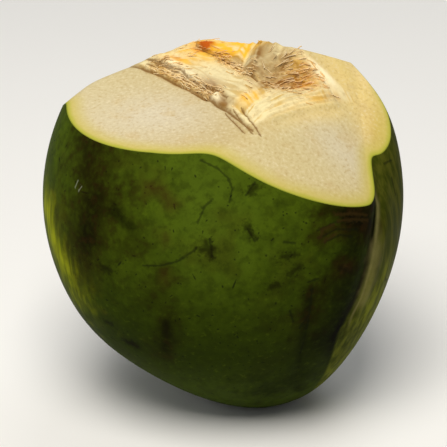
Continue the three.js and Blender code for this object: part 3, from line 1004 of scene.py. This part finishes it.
def make_tick_group():
    nodes, given = new_group("tick", Cell="Float", Width="Float", Length="Float", Share="Float")
    scale = nodes.add(MATHS, 1.0, given["Cell"], operation="DIVIDE")
    cells = nodes.add("ShaderNodeTexVoronoi", {"Vector": nodes.place, "Scale": scale}).outputs
    centred = nodes.add(VECTOR_MATHS, cells["Color"], (0.5, 0.5, 0.5), operation="SUBTRACT")
    way = nodes.add(VECTOR_MATHS, centred, operation="NORMALIZE")
    offset = nodes.add(VECTOR_MATHS, nodes.place, cells["Position"], operation="SUBTRACT")
    along = nodes.add(VECTOR_MATHS, offset, way, operation="DOT_PRODUCT").outputs["Value"]
    nearest = nodes.add(VECTOR_MATHS, {0: way, "Scale": along}, operation="SCALE")
    across = nodes.add(VECTOR_MATHS, offset, nearest, operation="DISTANCE").outputs["Value"]
    lumps = nodes.add(NOISE, {"Vector": nodes.place, **grain(TICK_GRAIN)})
    ragged = nodes.number([across, nodes.add(MATHS, lumps, 0.5, operation="ADD")])
    widths = nodes.add(MATHS, ragged, given["Width"], operation="DIVIDE")
    both_ways = nodes.add(MATHS, along, operation="ABSOLUTE")
    lengths = nodes.add(MATHS, both_ways, given["Length"], operation="DIVIDE")
    hue = nodes.add("ShaderNodeSeparateXYZ", cells["Color"]).outputs["X"]
    chosen = nodes.add(MATHS, hue, given["Share"], operation="LESS_THAN")
    mark = nodes.number([(widths, 1.0, THIN_END), (lengths, 1.0, SHORT_END), chosen])
    nodes.add("NodeGroupOutput", {"Mark": mark})
    return nodes.tree


TICK = make_tick_group()
print("tick group:", len(TICK.nodes), "nodes")


def ticks(nodes, cell, width, length, share):
    """Short strokes about one to a cell; sizes in millimetres, share from 0 to 1."""
    inputs = {"Cell": cell * MM, "Width": width * MM, "Length": length * MM, "Share": share}
    return nodes.add("ShaderNodeGroup", inputs, node_tree=TICK)


# %% [markdown]
# ## The skin
# The skin of a green coconut is a tough, waxy rind. Fresh wax is smooth, so it shines softly, but
# handling dulls it. Its green is never even: broad patches of older, browner rind, fine darker
# flecks, and everything that rubbed against it in the bunch. Coats of tint are laid over the green
# in that order, and the bruises and scratches come last. Some coats are painted light and shade:
# brighter green where the skin faces the lamp, darker green towards the bottom, painted shade
# beside the deep furrow and a painted shadow in its crease.

# %% Scratches and smudges
DARK_SCRATCHES = {  # each by its picture places
    "long arc": [(143, 265), (161, 266), (178, 261), (196, 249)],
    "arc under the cut": [(200, 160), (218, 168), (229, 178), (233, 189), (230, 202)],
    "upright tick": [(210, 240), (212, 256)],
    "tick above it": [(205, 206), (198, 222)],
    "tick near the cut": [(255, 182), (246, 196)],
    "scar under the cut": [(317, 231), (334, 222), (362, 221)],
    "scar below it": [(319, 238), (336, 229), (358, 229)],
    "lowest scar": [(325, 242), (340, 235), (352, 237)],
    "long line on the right": [(312, 290), (308, 321), (300, 353)],
}
SMUDGES = {  # short and wide
    "near the cut": [(249, 193), (256, 187)],
    "middle": [(246, 227), (253, 236)],
    "cross": [(201, 250), (214, 248)],
    "cross, upright": [(206, 241), (211, 256)],
    "right of the middle": [(283, 257), (294, 255)],
    "slanting mark": [(291, 273), (301, 266)],
    "small mark": [(272, 287), (278, 284)],
    "low spot": [(127, 342), (136, 345)],
    "below the cheek": [(103, 266), (110, 271)],
    "in the streak": [(166, 322), (167, 334)],
    "oval on the right": [(340, 268), (349, 271)],
    "small low spot": [(107, 322), (111, 324)],
}
BROWN_SCRATCHES = {  # the scar on the right has several arcs
    "upper": [(336, 214), (352, 213), (367, 215)],
    "middle": [(338, 221), (352, 219), (368, 220)],
    "left": [(320, 237), (323, 229), (334, 225)],
    "lower": [(325, 241), (335, 234)],
    "oval": [(341, 272), (345, 266), (350, 270)],
}
PALE_SCRATCHES = {"nick on the cheek": [(75, 187), (78, 181)], "nick below it": [(79, 191), (82, 186)]}
DARK_WIDTH, PALE_WIDTH, SMUDGE_WIDTH, BROWN_WIDTH = 0.85, 0.5, 2.6, 1.3     # in mm
SCATTERED = {"count": 34, "angles": (-200, 160), "heights": (-0.6, 0.5), "length": 8, "seed": 4}
# Short strokes: cell, width and length in mm, share of the cells, and strength.
TICKS = [(15, 0.6, 5.5, 0.6, 0.75), (8, 0.5, 3.2, 0.6, 0.75), (4, 0.45, 1.1, 0.6, 0.7)]
FRUIT_HEIGHT = 0.17                # in metres


def seen_lines(width, chains):
    return [(width, skin_chain(places)) for places in chains.values()]


dark_lines = seen_lines(DARK_WIDTH, DARK_SCRATCHES)
dark_lines += [(DARK_WIDTH, chain) for chain in random_chains(**SCATTERED)]
print("scratches and smudges:", len(dark_lines) + len(BROWN_SCRATCHES) + len(SMUDGES) + len(PALE_SCRATCHES))

# %% Waxy green rind
skin, rind, shader = new_material("waxy green rind")
RIND_GRAINS = [(26, 3), (9, 3), (5, 4), (2.6, 3)]     # size in mm, and detail
STREAK_GRAIN, STREAK_STRETCH = (3.0, 2), (1, 1, 0.12)
patch, cloud, mottle, fleck = [rind.add(NOISE, {"Vector": rind.place, **grain(*sizes)})
                               for sizes in RIND_GRAINS]
stretched = rind.add("ShaderNodeMapping", {"Vector": rind.place, "Scale": STREAK_STRETCH})
streak = rind.add(NOISE, {"Vector": stretched, **grain(*STREAK_GRAIN)})
upwards = rind.add("ShaderNodeSeparateXYZ", rind.place).outputs["Z"]
height = rind.add(MATHS, upwards, FRUIT_HEIGHT, operation="DIVIDE")

green = rind.coats(
    "#37450a",
    ("#42520d", (cloud, 0.35, 0.65), 1),
    # painted light: brighter green where the skin faces the lamp
    ("#4e6116", "fresh", 0.6),
    ("#36330b", (patch, 0.48, 0.7), 0.5),
    # painted shade: the green darkens towards the bottom, and the next coat lightens the lowest part a little
    # again
    ("#1e2706", (height, 0.72, 0.25), 0.8),
    ("#46561a", (height, 0.3, 0.1), 0.4),
    ("#232a08", (mottle, 0.45, 0.68), 0.42),
    ("#1c2406", (fleck, 0.5, 0.72), 0.28),
    ("#546512", (fleck, 0.42, 0.28), 0.2),
    *[("#10120a", ticks(rind, *sizes), strength) for *sizes, strength in TICKS],
)
high_tone = rind.coats("#353a0b", ("#4d4e16", (streak, 0.35, 0.65), 1))
low_tone = rind.coats("#444a0e", ("#63681b", (streak, 0.35, 0.65), 1))
side_tone = rind.coats(high_tone, (low_tone, (height, 0.62, 0.3), 1))
streaky = rind.add(MATHS, rind.number((streak, 0.38, 0.6)), 0.6, 0.4, operation="MULTIPLY_ADD")
green = rind.coats(green, (side_tone, "side", 0.9), ("#9ea50e", ["yellowing", streaky], 0.85))
worn_through = rind.add(MATHS, rind.number((fleck, 0.3, 0.6)), 0.2, 0.8, operation="MULTIPLY_ADD")
# The broad shade coat is painted shade with some dirt, the furrow coat is a painted shadow in the crease of
# the deep furrow, and the crest coat is worn tan with a painted highlight along the crest.
for name, code, strength in (
    ("shade", "#0f1303", 0.88), ("stain", "#1a1104", 0.9), ("reddish", "#33200c", 0.65),
    ("bruise", "#0b0b04", 0.85), ("furrow", "#060402", 0.97), ("crest", "#7f7848", 0.7),
    ("faint_line", "#0e1004", 0.6),
):
    green = rind.coats(green, (code, [name, worn_through], strength))
green = rind.coats(
    green,
    ("#2c1e0a", [(mottle, 0.5, 0.68), "stain"], 0.5),
    ("#12150a", scratches(rind, dark_lines), 0.6),
    ("#33260f", scratches(rind, seen_lines(BROWN_WIDTH, BROWN_SCRATCHES)), 0.7),
    ("#141206", scratches(rind, seen_lines(SMUDGE_WIDTH, SMUDGES)), 0.7),
    ("#9aa08a", scratches(rind, seen_lines(PALE_WIDTH, PALE_SCRATCHES)), 0.4),
)

relief = rind.add(MATHS, cloud, 0.6, rind.number([fleck, 0.25]), operation="MULTIPLY_ADD")
roughness = rind.add(MATHS, cloud, 0.25, 0.38, operation="MULTIPLY_ADD")
rind.fill(shader, {
    "Base Color": green, "Roughness": roughness, "IOR": 1.45,
    "Specular IOR Level": 0.01, "Specular Tint": "#b9c46a",
    "Normal": rind.add("ShaderNodeBump", {"Strength": 0.35, "Distance": 0.6 * MM, "Height": relief}),
})
husk_mesh.materials.append(skin)
print("rind:", len(rind.tree.nodes), "nodes")

# %% [markdown]
# ## The cut husk
# Under the rind the husk is pale and spongy. A knife cut shows the ends of its fibres as fine
# specks, cream and light brown. A band of yellow green lies just inside the rind. Where the husk
# tore instead, the strands show their length, and the sap between them dries amber and rust.
# Painted shade darkens the gaps, the hollow, the stub's face, the splits and the space under the
# lip, and a painted highlight brightens the white ridge.

# %% Cut and torn husk
cut_finish, flesh, shader = new_material("cut coconut husk")
CUT_GRAINS = [(1.5, 3), (11, 3), (1.9, 4), (3, 4)]
speck, blotch, broken, shred = [flesh.add(NOISE, {"Vector": flesh.place, **grain(*sizes)})
                                for sizes in CUT_GRAINS]
sideways = flesh.add("ShaderNodeSeparateXYZ", flesh.place).outputs["X"]

cream = flesh.coats(
    "#cbbd92",
    ("#bfac7a", (sideways, -0.085, 0.0), 1),
    ("#cbbb8a", "on_front", 1),
    ("#ddc68a", "right_cut", 1),
    ("#e8cd82", "warm", 0.85),
    ("#bda244", "ripe", 0.7),
    ("#d3cbb8", "dried", 0.6),
    ("#c3aa74", (blotch, 0.5, 0.75), 0.4),
    ("#a98a50", (speck, 0.5, 0.78), 0.5),
    ("#e6dab6", (speck, 0.5, 0.25), 0.4),
)
fibrous = flesh.coats(
    "#eadcaa",
    ("#cdae66", ("strand", -0.1, 0.8), 1),
    ("#bda878", (shred, 0.44, 0.72), 0.65),
)
# The split lines are painted shade, drawn thinly along the splits and forks.
split_shade_lines = [(SPLIT_INK * split["half"], split_chain(split)) for split in ALL_SPLITS]
split_shade_lines += [(FORK_INK * fork["half"], [(*fork["from"], 0), (*fork["to"], 0)]) for fork in fork_lines()]
cream = flesh.coats(
    cream,
    (fibrous, "torn", 0.9),
    ("#c9973c", "matter", 0.65),
    ("#f2b92a", "amber", 0.95),
    ("#b84d04", "rust", 0.95),
    ("#b39d70", "grey", 0.8),
    ("#7d5119", "brown", 0.85),
    ("#8f5c18", "crumb", 0.75),
    ("#7a5218", "crack", 0.55),
    ("#fff3c8", "pale", 0.85),
    ("#6a4010", [(broken, 0.5, 0.62), "matter"], 0.5),
    ("#f3dca2", [(broken, 0.46, 0.34), "matter"], 0.45),
    ("#75501a", scratches(flesh, split_shade_lines, keep=(1, 1, 0)), 0.75),
)
wavy_rim = flesh.add(MATHS, blotch, 2.0, flesh.number("rim_distance"), operation="MULTIPLY_ADD")
green_left = flesh.add(MATHS, 1.0, flesh.number("bare"), operation="SUBTRACT")
for code, distance, start, end, strength in (
    ("#c2b355", wavy_rim, 12.0, 2.0, 0.8),
    ("#a8a836", wavy_rim, 4.2, 1.4, 0.9),
    ("#6c781a", "rim_distance", 0.8, 0.1, 0.7),
):
    cream = flesh.coats(cream, (code, [(distance, start, end), green_left], strength))

rubble = flesh.add(MATHS, flesh.number([broken, "matter"]), 3.0, speck, operation="MULTIPLY_ADD")
relief = flesh.add(MATHS, blotch, 0.5, rubble, operation="MULTIPLY_ADD")
flesh.fill(shader, {
    "Base Color": cream, "Roughness": 0.85, "IOR": 1.4, "Specular IOR Level": 0.2,
    "Normal": flesh.add("ShaderNodeBump", {"Strength": 0.25, "Distance": 0.4 * MM, "Height": relief}),
})
husk_mesh.materials.append(cut_finish)
print("cut husk:", len(flesh.tree.nodes), "nodes")

# %% [markdown]
# ## Loose fibres
# Torn husk ends in hundreds of loose, tapering fibres that lie along the bundle they came from.
# Something that repeats over a surface is what Geometry Nodes are for: points are scattered over
# the torn crown, as densely as an attribute says, and each gets one thin, tapering tube that
# points along the fibre's way. Every fibre has only 27 faces, because there are many. Real ones
# are as thin as 0.2 mm. Here they are twice as thick and fewer, because finer ones would not show.

# %% The bed that the fibres grow from
SPARSE = 0.03                      # how densely fibres grow all over the torn crown, as a share
ON_STUB, ON_TUFT = 0.1, 0.3
BED_START, BED_EDGE = 8, (6, 12)     # outer rings that bear none, and mm from the cut edge
loose = [share * in_mound(mound, top_x, top_y) for mound, share in ((STUB, ON_STUB), (BACK_TUFT, ON_TUFT))]
bed_density = np.maximum.reduce([matter_share, *loose, np.full_like(top_x, SPARSE)]) * torn
bed_density = bed_density * smooth(*BED_EDGE, rim_distance)
way_x, way_y = fibre_way(top_x, top_y)
ahead_x, ahead_y = top_x + way_x, top_y + way_y
way_z = top_height(ahead_x, ahead_y)[0] - top_height(top_x, top_y)[0]
bed_rows = range(BED_START, len(top_rings) - 1)
bed_faces = [[r * COLUMNS + c for r, c in ((row, i), (row, j), (row + 1, j), (row + 1, i))]
             for row in bed_rows for i, j in zip(column.tolist(), following.tolist())]
bed_mesh = new_mesh("fibre bed", ((top_rings.reshape(-1, 3) + MIDDLE) * MM).tolist(), bed_faces)
store(bed_mesh, "density", bed_density)
for name, values in {"way_x": way_x, "way_y": way_y, "way_z": way_z}.items():
    store(bed_mesh, name, values)
for name, spots in FIBRE_COLOURS.items():
    store(bed_mesh, name, np.clip(patches(spots, top_x, top_y), 0, 1))
bed = new_object("fibre bed", bed_mesh)
print("bed:", len(bed_faces), "faces")

# %% The fibre tree
FIBRE_INPUTS = {"Geometry": "Geometry", "Density": "Float", "Length": "Float", "Thickness": "Float",
                "Curl": "Float", "Seed": "Int", "Material": "Material"}
FIBRE_SIDES, FIBRE_BENDS, FIBRE_TIP = 5, 6, 0.25      # the tip is a share of the thickness
FIBRE_SIZES, FIBRE_TILT, TONE_SEED = (0.35, 1.25), 0.2, 5
CURLS = 160.0                      # bends to a metre, about


def make_fibre_tree():
    tree = bpy.data.node_groups.new("torn fibres", "GeometryNodeTree")
    keys = {name: tree.interface.new_socket(name, in_out="INPUT", socket_type=f"NodeSocket{kind}").identifier
            for name, kind in FIBRE_INPUTS.items()}
    tree.interface.new_socket("Geometry", in_out="OUTPUT", socket_type="NodeSocketGeometry")
    nodes = Nodes(tree)
    given = nodes.add("NodeGroupInput").outputs

    read = {name: nodes.add("GeometryNodeInputNamedAttribute", {"Name": name}, data_type="FLOAT")
            for name in ("density", "way_x", "way_y", "way_z", "share")}
    draws = ((*FIBRE_SIZES, given["Seed"]), (0.0, 1.0, TONE_SEED))
    size, tone = [nodes.add("FunctionNodeRandomValue", {2: low, 3: high, "Seed": seed},
                            data_type="FLOAT").outputs[1] for low, high, seed in draws]

    # One straight, tapering tube.
    upright = nodes.add("ShaderNodeCombineXYZ", {"Z": given["Length"]})
    line = nodes.add("GeometryNodeCurvePrimitiveLine", {"End": upright})
    bent = nodes.add("GeometryNodeResampleCurve", {"Curve": line, "Count": FIBRE_BENDS})
    share = nodes.add("GeometryNodeSplineParameter")
    marked = nodes.add("GeometryNodeStoreNamedAttribute", {"Geometry": bent, "Name": "share", "Value": share},
                       data_type="FLOAT", domain="POINT")
    taper = nodes.add("ShaderNodeMapRange", {"Value": share, "To Min": 1.0, "To Max": FIBRE_TIP})
    sized = nodes.add("GeometryNodeSetCurveRadius", {"Curve": marked, "Radius": taper})
    half = nodes.number([given["Thickness"], 0.5])
    ring = nodes.add("GeometryNodeCurvePrimitiveCircle", {"Resolution": FIBRE_SIDES, "Radius": half})
    tube = nodes.add("GeometryNodeCurveToMesh", {"Curve": sized, "Profile Curve": ring, "Fill Caps": True})

    # Many of them on the bed, each along the fibre's way and of its own size and tone.
    scatter = nodes.add("GeometryNodeDistributePointsOnFaces",
                        {"Mesh": given["Geometry"], "Seed": given["Seed"],
                         "Density": nodes.number([given["Density"], read["density"]])},
                        distribute_method="RANDOM")
    way = nodes.add("ShaderNodeCombineXYZ", *(read[name] for name in ("way_x", "way_y", "way_z")))
    aligned = nodes.add("FunctionNodeAlignRotationToVector", {"Vector": way}, axis="Z")
    tilt = nodes.add("FunctionNodeRandomValue",
                     {"Min": (-FIBRE_TILT, -FIBRE_TILT, -3.1), "Max": (FIBRE_TILT, FIBRE_TILT, 3.1),
                      "Seed": given["Seed"]}, data_type="FLOAT_VECTOR")
    turned_by = nodes.add("FunctionNodeRotateRotation", {"Rotation": aligned, "Rotate By": tilt},
                          rotation_space="LOCAL")
    growing = nodes.add("GeometryNodeInstanceOnPoints",
                        {"Points": scatter, "Instance": tube, "Rotation": turned_by,
                         "Scale": size})
    toned = nodes.add("GeometryNodeStoreNamedAttribute", {"Geometry": growing, "Name": "tone", "Value": tone},
                      data_type="FLOAT", domain="INSTANCE")
    real = nodes.add("GeometryNodeRealizeInstances", {"Geometry": toned})

    # Each curls more towards its tip.
    wind = nodes.add("ShaderNodeTexNoise", {"Scale": CURLS, "Detail": 1.0}).outputs["Color"]
    reach = nodes.number([read["share"], given["Curl"]])
    centred = nodes.add(VECTOR_MATHS, wind, (0.5, 0.5, 0.5), operation="SUBTRACT")
    offset = nodes.add(VECTOR_MATHS, {0: centred, "Scale": reach}, operation="SCALE")
    curled = nodes.add("GeometryNodeSetPosition", {"Geometry": real, "Offset": offset})
    soft = nodes.add("GeometryNodeSetShadeSmooth", {"Geometry": curled})
    dressed = nodes.add("GeometryNodeSetMaterial", {"Geometry": soft, "Material": given["Material"]})
    nodes.add("NodeGroupOutput", {"Geometry": dressed})
    return tree, keys


# %% [markdown]
# ## The finish of the loose fibres
# Coconut fibre is dry and dull, paler at the broken tip. Each takes the colour of the husk it grew
# from, and a random tone keeps neighbours apart.

# %% Dry coconut fibre
fibre_finish, fibre, shader = new_material("dry coconut fibre")
straw = fibre.coats(
    "#d9ab55", ("#f8e3b0", "tone", 1),
    # The brown and grey coats bring the crown's painted shade onto the fibres as well.
    ("#e8a428", "amber", 0.8), ("#b09a70", "grey", 0.6), ("#c08f44", "brown", 0.4), ("#b8701f", "rust", 0.7),
    ("#fbeccb", "share", 0.35),
)
fibre.fill(shader, {"Base Color": straw, "Roughness": 0.75, "IOR": 1.45, "Specular IOR Level": 0.25})
print("fibre finish:", len(fibre.tree.nodes), "nodes")

# %% Grow the fibres
fibre_tree, keys = make_fibre_tree()
grower = bed.modifiers.new("torn fibres", "NODES")
grower.node_group = fibre_tree
for name, value in {"Density": 8.0e5, "Length": 4.5 * MM, "Thickness": 0.42 * MM, "Curl": 4.0 * MM,
                    "Seed": 3, "Material": fibre_finish}.items():
    grower[keys[name]] = value
grown = bed.evaluated_get(bpy.context.evaluated_depsgraph_get())
fibre_mesh = bpy.data.meshes.new_from_object(grown)
fibre_mesh.materials.clear()
fibre_mesh.materials.append(fibre_finish)
fibres = new_object("torn_fibres", fibre_mesh)
bpy.data.objects.remove(bed)
print("fibres:", len(fibre_mesh.polygons), "faces, materials:", list(fibre_mesh.materials))

# %% Say what each piece is
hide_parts("green_coconut")
for piece in (husk, fibres):
    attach(piece, "root")

# %% [markdown]
# ## The studio
# The fruit stands on a plain pale floor. A broad soft light high in front, a little to the left,
# gives the cut its brightness and lets the green fall off towards the tip. A weak one on the left
# and one high behind keep the sides readable. The camera looks down a little, with a long lens.

# %% Floor
FLOOR_SIZE = 6.0
half = FLOOR_SIZE / 2
corners = [(-half, -half, 0), (half, -half, 0), (half, half, 0), (-half, half, 0)]
floor_mesh = new_mesh("floor", corners, [(0, 1, 2, 3)])
floor = new_object("floor", floor_mesh)
paper, sheet, shader = new_material("white studio paper")
clouds = sheet.add(NOISE, {"Vector": sheet.place, **grain(400)})
sheet.fill(shader, {"Base Color": sheet.coats("#f6f6f4", ("#f2f2f0", clouds, 1)), "Roughness": 0.9})
floor_mesh.materials.append(paper)
print("floor:", FLOOR_SIZE, "m wide")

# %% Camera
camera_data = bpy.data.cameras.new("camera")
camera_data.lens = LENS
camera_data.sensor_width = SENSOR
camera = new_object("camera", camera_data)
camera.location = EYE
camera.rotation_euler = (math.pi / 2 - ELEVATION, 0, 0)
bpy.context.scene.camera = camera
print("camera at", [round(v, 3) for v in camera.location])


# %% Lights
def soft_light(name, place, size, watts, code="#ffffff"):
    """A square panel of light that faces the fruit."""
    data = bpy.data.lights.new(name, "AREA")
    data.shape, data.size, data.energy = "SQUARE", size, watts
    data.color = colour(code)[:3]
    light = new_object(name, data)
    light.location = place
    light.rotation_euler = (TARGET - Vector(place)).to_track_quat("-Z", "Y").to_euler()


# Each light: where it is and how wide it is, in metres, and its watts.
soft_light("key panel", (-0.18, -0.72, 1.48), 0.9, 25, "#fffaf2")
soft_light("left panel", (-1.2, 0.1, 0.5), 0.6, 1.5)
soft_light("back panel", (0.4, 0.9, 1.3), 0.8, 5)
print("lights:", [light.name for light in bpy.data.lights])

# %% The room
ROOM_LIGHT = 0.18
world = bpy.data.worlds.new("pale room")
world.use_nodes = True
world.node_tree.nodes["Background"].inputs["Color"].default_value = colour("#ffffff")
world.node_tree.nodes["Background"].inputs["Strength"].default_value = ROOM_LIGHT
bpy.context.scene.world = world
bpy.context.scene.view_settings.view_transform = "Standard"
bpy.context.scene.view_settings.look = "None"
